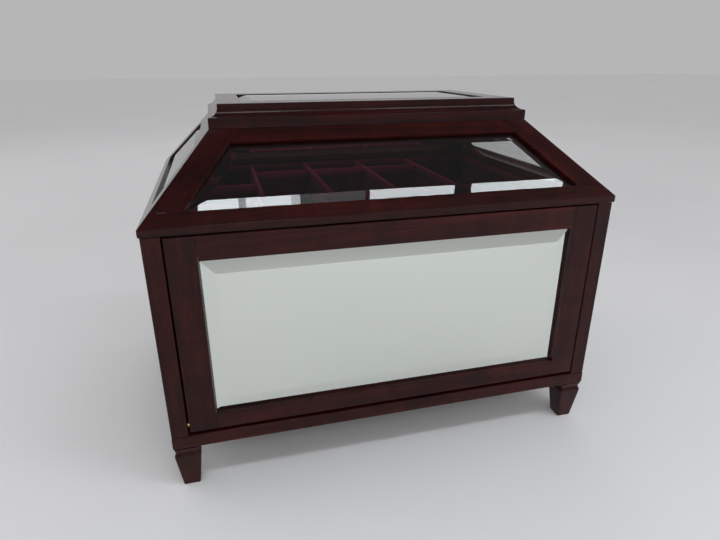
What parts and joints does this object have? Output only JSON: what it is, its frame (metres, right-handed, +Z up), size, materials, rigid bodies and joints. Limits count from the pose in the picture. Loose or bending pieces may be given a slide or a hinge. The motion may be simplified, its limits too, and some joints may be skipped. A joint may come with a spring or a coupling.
{
  "type": "jewelry box",
  "caption": "Dark mahogany jewelry box on tapered feet, with a hipped bevelled-glass lid over a velvet-divided tray and a bevelled-mirror drop front.",
  "frame": {"origin": "middle of the outline on the surface the feet stand on", "axes": "+X to the right seen from the front, +Y to the back, +Z up"},
  "size_m": [0.402, 0.3096, 0.3176],
  "materials": {
    "mahogany": "gloss lacquer over a dark red stain",
    "clear_glass": "clear, with ground and polished bevels",
    "mirror": "silvered glass with a ground and polished bevel",
    "brass": "polished",
    "velvet": "burgundy velvet over card and padding",
    "backing_board": "dark hardboard"
  },
  "bodies": {
    "case": {"back_panel": "mahogany", "floor_board": "mahogany", "foot_back_left": "mahogany", "foot_back_right": "mahogany", "foot_front_left": "mahogany", "foot_front_right": "mahogany", "hinge_case_leaf_left": "brass", "hinge_case_leaf_right": "brass", "lower_lining": "velvet", "pivot_pin_left": "brass", "pivot_pin_right": "brass", "plinth_back": "mahogany", "plinth_front": "mahogany", "plinth_left": "mahogany", "plinth_right": "mahogany", "post_back_left": "mahogany", "post_back_right": "mahogany", "post_front_left": "mahogany", "post_front_right": "mahogany", "side_panel_left": "mahogany", "side_panel_right": "mahogany", "tray_cross_divider_long": "velvet", "tray_cross_divider_short": "velvet", "tray_divider_1": "velvet", "tray_divider_2": "velvet", "tray_divider_3": "velvet", "tray_divider_4": "velvet", "tray_floor": "mahogany", "tray_front_wall": "mahogany", "tray_lining": "velvet"},
    "drop_front": {"ball_catch": "brass", "door_rail_bottom": "mahogany", "door_rail_top": "mahogany", "door_stile_left": "mahogany", "door_stile_right": "mahogany", "mirror": "mirror", "mirror_backing": "backing_board"},
    "lid": {"cornice_back": "mahogany", "cornice_front": "mahogany", "cornice_left": "mahogany", "cornice_right": "mahogany", "glass_back": "clear_glass", "glass_front": "clear_glass", "glass_left": "clear_glass", "glass_right": "clear_glass", "glass_top": "clear_glass", "hinge_lid_leaf_left": "brass", "hinge_lid_leaf_right": "brass", "lid_base_back": "mahogany", "lid_base_front": "mahogany", "lid_base_left": "mahogany", "lid_base_right": "mahogany", "lid_hip_back_left": "mahogany", "lid_hip_back_right": "mahogany", "lid_hip_front_left": "mahogany", "lid_hip_front_right": "mahogany", "lid_top_rail_back": "mahogany", "lid_top_rail_front": "mahogany", "lid_top_rail_left": "mahogany", "lid_top_rail_right": "mahogany"}
  },
  "joints": [
    {"name": "lid_hinge", "type": "hinge", "parent": "case", "child": "lid", "pos_m": [0, 0.15215, 0.2313], "axis": [-1, 0, 0], "range_deg": [0, 95]},
    {"name": "drop_front_pivot", "type": "hinge", "parent": "case", "child": "drop_front", "pos_m": [0, -0.14745, 0.0613], "axis": [1, 0, 0], "range_deg": [0, 95]}
  ]
}
